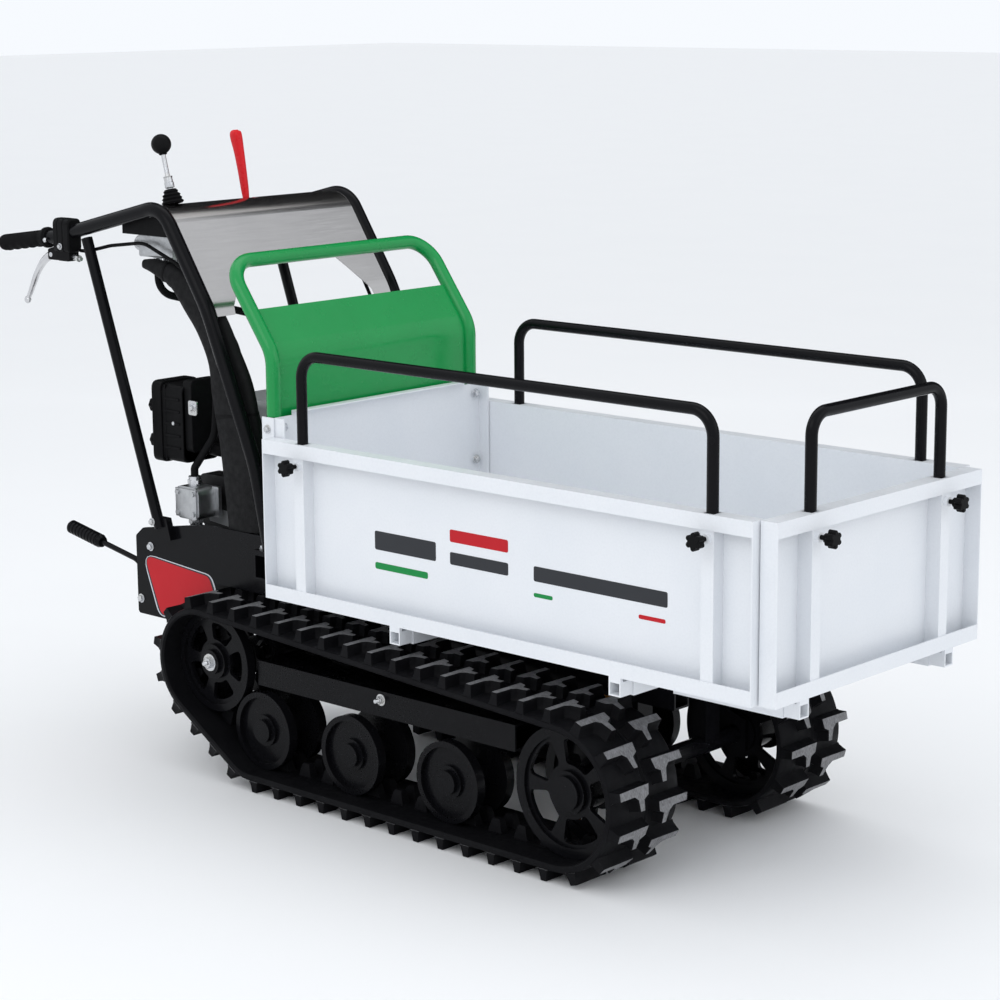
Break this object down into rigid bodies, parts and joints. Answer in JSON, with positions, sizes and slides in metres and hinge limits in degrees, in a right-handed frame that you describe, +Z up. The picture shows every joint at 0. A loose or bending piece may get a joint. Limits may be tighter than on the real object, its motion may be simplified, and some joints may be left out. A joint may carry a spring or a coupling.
{
  "type": "tracked power wheelbarrow",
  "caption": "Walk-behind tracked mini dumper with a hydraulic tipping bed, extending drop walls, load hoops, a green rear rack and rubber tracks.",
  "frame": {"origin": "centre of the bounding box on the ground", "axes": "+X towards the bed's front gate, +Y to the driver's left, +Z up"},
  "size_m": [2.0216, 0.686, 1.2098],
  "materials": {
    "white_paint": "satin powder coat",
    "black_paint": "satin powder coat",
    "green_paint": "gloss powder coat",
    "stainless": "satin stainless sheet",
    "zinc": "bright zinc plate",
    "track_rubber": "moulded rubber, scuffed",
    "grip_rubber": "matt",
    "hose_rubber": "matt",
    "black_plastic": "matt moulded",
    "red_plastic": "gloss",
    "knob_black": "semi matt moulded",
    "pump_aluminium": "die cast",
    "engine_metal": "die cast",
    "tank_paint": "satin light grey",
    "heat_black": "matt heat paint",
    "ram_gold": "gloss amber",
    "bright_rod": "hard chrome"
  },
  "bodies": {
    "chassis": {"air_cleaner": "black_plastic", "chassis_frame": "black_paint", "console_hood": "stainless", "console_shelf": "black_plastic", "control_cables": "hose_rubber", "control_valve": "pump_aluminium", "engine_block": "engine_metal", "engine_cowl": "heat_black", "fuel_tank": "tank_paint", "gearbox": "black_paint", "handle_grips": "grip_rubber", "handlebar_left": "black_paint", "handlebar_right": "black_paint", "handlebar_struts": "black_paint", "hydraulic_fittings": "zinc", "hydraulic_hoses": "hose_rubber", "hydraulic_pump": "pump_aluminium", "hydraulic_tank": "black_paint", "lever_boot": "hose_rubber", "lever_perches": "knob_black", "muffler": "heat_black", "rubber_track_left": "track_rubber", "rubber_track_right": "track_rubber", "side_plate_left": "black_paint", "side_plate_right": "black_paint", "track_frame_left": "black_paint", "track_frame_right": "black_paint"},
    "bed": {"bed_floor": "white_paint", "rear_wall": "white_paint", "rear_rack": "green_paint"},
    "right_wall": {"side_wall_right": "white_paint"},
    "left_wall": {"side_wall_left": "white_paint"},
    "gate": {"front_gate": "white_paint"},
    "right_hoop": {"side_hoop_right": "black_paint"},
    "left_hoop": {"side_hoop_left": "black_paint"},
    "front_hoop": {"gate_hoop": "black_paint"},
    "turning_idler_left": {"idler_left": "black_paint"},
    "turning_idler_right": {"idler_right": "black_paint"},
    "turning_knob_gate_left": {"knob_gate_left": "knob_black"},
    "turning_knob_gate_right": {"knob_gate_right": "knob_black"},
    "turning_knob_left_front": {"knob_left_front": "knob_black"},
    "turning_knob_left_rear": {"knob_left_rear": "knob_black"},
    "turning_knob_right_front": {"knob_right_front": "knob_black"},
    "turning_knob_right_rear": {"knob_right_rear": "knob_black"},
    "turning_roller_left_1": {"roller_left_1": "black_paint"},
    "turning_roller_left_2": {"roller_left_2": "black_paint"},
    "turning_roller_left_3": {"roller_left_3": "black_paint"},
    "turning_roller_right_1": {"roller_right_1": "black_paint"},
    "turning_roller_right_2": {"roller_right_2": "black_paint"},
    "turning_roller_right_3": {"roller_right_3": "black_paint"},
    "turning_sprocket_left": {"sprocket_left": "black_paint"},
    "turning_sprocket_right": {"sprocket_right": "black_paint"},
    "turning_steering_lever_left": {"steering_lever_left": "bright_rod"},
    "turning_steering_lever_right": {"steering_lever_right": "bright_rod"},
    "moving_ram_barrel": {"ram_barrel": "ram_gold"},
    "moving_ram_rod": {"ram_rod": "bright_rod"},
    "moving_tip_lever": {"tip_lever": "zinc"},
    "moving_drive_lever": {"drive_lever": "red_plastic"},
    "moving_gear_lever": {"gear_lever": "black_paint"},
    "moving_fuel_cap": {"fuel_cap": "black_plastic"}
  },
  "joints": [
    {"name": "bed_tip", "type": "hinge", "parent": "chassis", "child": "bed", "pos_m": [0.6237, 0, 0.345], "axis": [0, 1, 0], "range_deg": [0, 45]},
    {"name": "ram_swing", "type": "hinge", "parent": "chassis", "child": "moving_ram_barrel", "pos_m": [0.3237, 0, 0.16], "axis": [0, -1, 0], "range_deg": [0, 4]},
    {"name": "ram_stroke", "type": "slide", "parent": "moving_ram_barrel", "child": "moving_ram_rod", "axis": [0.7821, 0, 0.6231], "range_m": [0, 0.0425]},
    {"name": "right_wall_out", "type": "slide", "parent": "bed", "child": "right_wall", "axis": [0, -1, 0], "range_m": [0, 0.15]},
    {"name": "left_wall_out", "type": "slide", "parent": "bed", "child": "left_wall", "axis": [0, 1, 0], "range_m": [0, 0.15]},
    {"name": "gate_out", "type": "slide", "parent": "bed", "child": "gate", "axis": [1, 0, 0], "range_m": [0, 0.12]},
    {"name": "right_hoop_up", "type": "slide", "parent": "right_wall", "child": "right_hoop", "axis": [0, 0, 1], "range_m": [0, 0.15]},
    {"name": "left_hoop_up", "type": "slide", "parent": "left_wall", "child": "left_hoop", "axis": [0, 0, 1], "range_m": [0, 0.15]},
    {"name": "front_hoop_up", "type": "slide", "parent": "gate", "child": "front_hoop", "axis": [0, 0, 1], "range_m": [0, 0.15]},
    {"name": "knob_right_rear_turn", "type": "hinge", "parent": "right_wall", "child": "turning_knob_right_rear", "pos_m": [-0.0828, -0.302, 0.638], "axis": [0, -1, 0], "continuous": true},
    {"name": "knob_right_front_turn", "type": "hinge", "parent": "right_wall", "child": "turning_knob_right_front", "pos_m": [0.8507, -0.302, 0.638], "axis": [0, -1, 0], "continuous": true},
    {"name": "knob_gate_right_turn", "type": "hinge", "parent": "gate", "child": "turning_knob_gate_right", "pos_m": [0.9699, -0.183, 0.638], "axis": [1, 0, 0], "continuous": true},
    {"name": "sprocket_right_spin", "type": "hinge", "parent": "chassis", "child": "turning_sprocket_right", "pos_m": [-0.3563, -0.235, 0.221], "axis": [0, 1, 0], "continuous": true},
    {"name": "idler_right_spin", "type": "hinge", "parent": "chassis", "child": "turning_idler_right", "pos_m": [0.5407, -0.235, 0.151], "axis": [0, 1, 0], "continuous": true},
    {"name": "roller_right_1_spin", "type": "hinge", "parent": "chassis", "child": "turning_roller_right_1", "pos_m": [-0.2213, -0.235, 0.109], "axis": [0, 1, 0], "continuous": true},
    {"name": "roller_right_2_spin", "type": "hinge", "parent": "chassis", "child": "turning_roller_right_2", "pos_m": [0.0137, -0.235, 0.109], "axis": [0, 1, 0], "continuous": true},
    {"name": "roller_right_3_spin", "type": "hinge", "parent": "chassis", "child": "turning_roller_right_3", "pos_m": [0.2587, -0.235, 0.109], "axis": [0, 1, 0], "continuous": true},
    {"name": "steering_right_pull", "type": "hinge", "parent": "chassis", "child": "turning_steering_lever_right", "pos_m": [-0.8403, -0.245, 0.966], "axis": [0, 1, 0], "range_deg": [0, 25], "stiffness_Nm_per_rad": 3},
    {"name": "knob_left_rear_turn", "type": "hinge", "parent": "left_wall", "child": "turning_knob_left_rear", "pos_m": [-0.0828, 0.302, 0.638], "axis": [0, 1, 0], "continuous": true},
    {"name": "knob_left_front_turn", "type": "hinge", "parent": "left_wall", "child": "turning_knob_left_front", "pos_m": [0.8507, 0.302, 0.638], "axis": [0, 1, 0], "continuous": true},
    {"name": "knob_gate_left_turn", "type": "hinge", "parent": "gate", "child": "turning_knob_gate_left", "pos_m": [0.9699, 0.183, 0.638], "axis": [1, 0, 0], "continuous": true},
    {"name": "sprocket_left_spin", "type": "hinge", "parent": "chassis", "child": "turning_sprocket_left", "pos_m": [-0.3563, 0.235, 0.221], "axis": [0, 1, 0], "continuous": true},
    {"name": "idler_left_spin", "type": "hinge", "parent": "chassis", "child": "turning_idler_left", "pos_m": [0.5407, 0.235, 0.151], "axis": [0, 1, 0], "continuous": true},
    {"name": "roller_left_1_spin", "type": "hinge", "parent": "chassis", "child": "turning_roller_left_1", "pos_m": [-0.2213, 0.235, 0.109], "axis": [0, 1, 0], "continuous": true},
    {"name": "roller_left_2_spin", "type": "hinge", "parent": "chassis", "child": "turning_roller_left_2", "pos_m": [0.0137, 0.235, 0.109], "axis": [0, 1, 0], "continuous": true},
    {"name": "roller_left_3_spin", "type": "hinge", "parent": "chassis", "child": "turning_roller_left_3", "pos_m": [0.2587, 0.235, 0.109], "axis": [0, 1, 0], "continuous": true},
    {"name": "steering_left_pull", "type": "hinge", "parent": "chassis", "child": "turning_steering_lever_left", "pos_m": [-0.8403, 0.245, 0.966], "axis": [0, 1, 0], "range_deg": [0, 25], "stiffness_Nm_per_rad": 3},
    {"name": "tip_lever_swing", "type": "hinge", "parent": "chassis", "child": "moving_tip_lever", "pos_m": [-0.5493, -0.185, 1.088], "axis": [0, 1, 0], "range_deg": [-11, 11], "stiffness_Nm_per_rad": 2},
    {"name": "drive_lever_swing", "type": "hinge", "parent": "chassis", "child": "moving_drive_lever", "pos_m": [-0.5573, 0.015, 1.042], "axis": [0, 1, 0], "range_deg": [-15, 15]},
    {"name": "gear_lever_swing", "type": "hinge", "parent": "chassis", "child": "moving_gear_lever", "pos_m": [-0.6143, -0.205, 0.33], "axis": [0, 1, 0], "range_deg": [-12, 12]},
    {"name": "fuel_cap_turn", "type": "hinge", "parent": "chassis", "child": "moving_fuel_cap", "pos_m": [-0.4383, 0, 0.71], "axis": [0, 0, 1], "range_deg": [0, 90]}
  ],
  "couplings": [
    {"joint": "ram_swing", "follows": "bed_tip", "ratio": 0.0743},
    {"joint": "ram_stroke", "follows": "bed_tip", "m_per_rad": 0.0525},
    {"joint": "idler_right_spin", "follows": "sprocket_right_spin", "ratio": 0.8468},
    {"joint": "roller_right_1_spin", "follows": "sprocket_right_spin", "ratio": 1.2805},
    {"joint": "roller_right_2_spin", "follows": "sprocket_right_spin", "ratio": 1.2805},
    {"joint": "roller_right_3_spin", "follows": "sprocket_right_spin", "ratio": 1.2805},
    {"joint": "idler_left_spin", "follows": "sprocket_left_spin", "ratio": 0.8468},
    {"joint": "roller_left_1_spin", "follows": "sprocket_left_spin", "ratio": 1.2805},
    {"joint": "roller_left_2_spin", "follows": "sprocket_left_spin", "ratio": 1.2805},
    {"joint": "roller_left_3_spin", "follows": "sprocket_left_spin", "ratio": 1.2805}
  ]
}
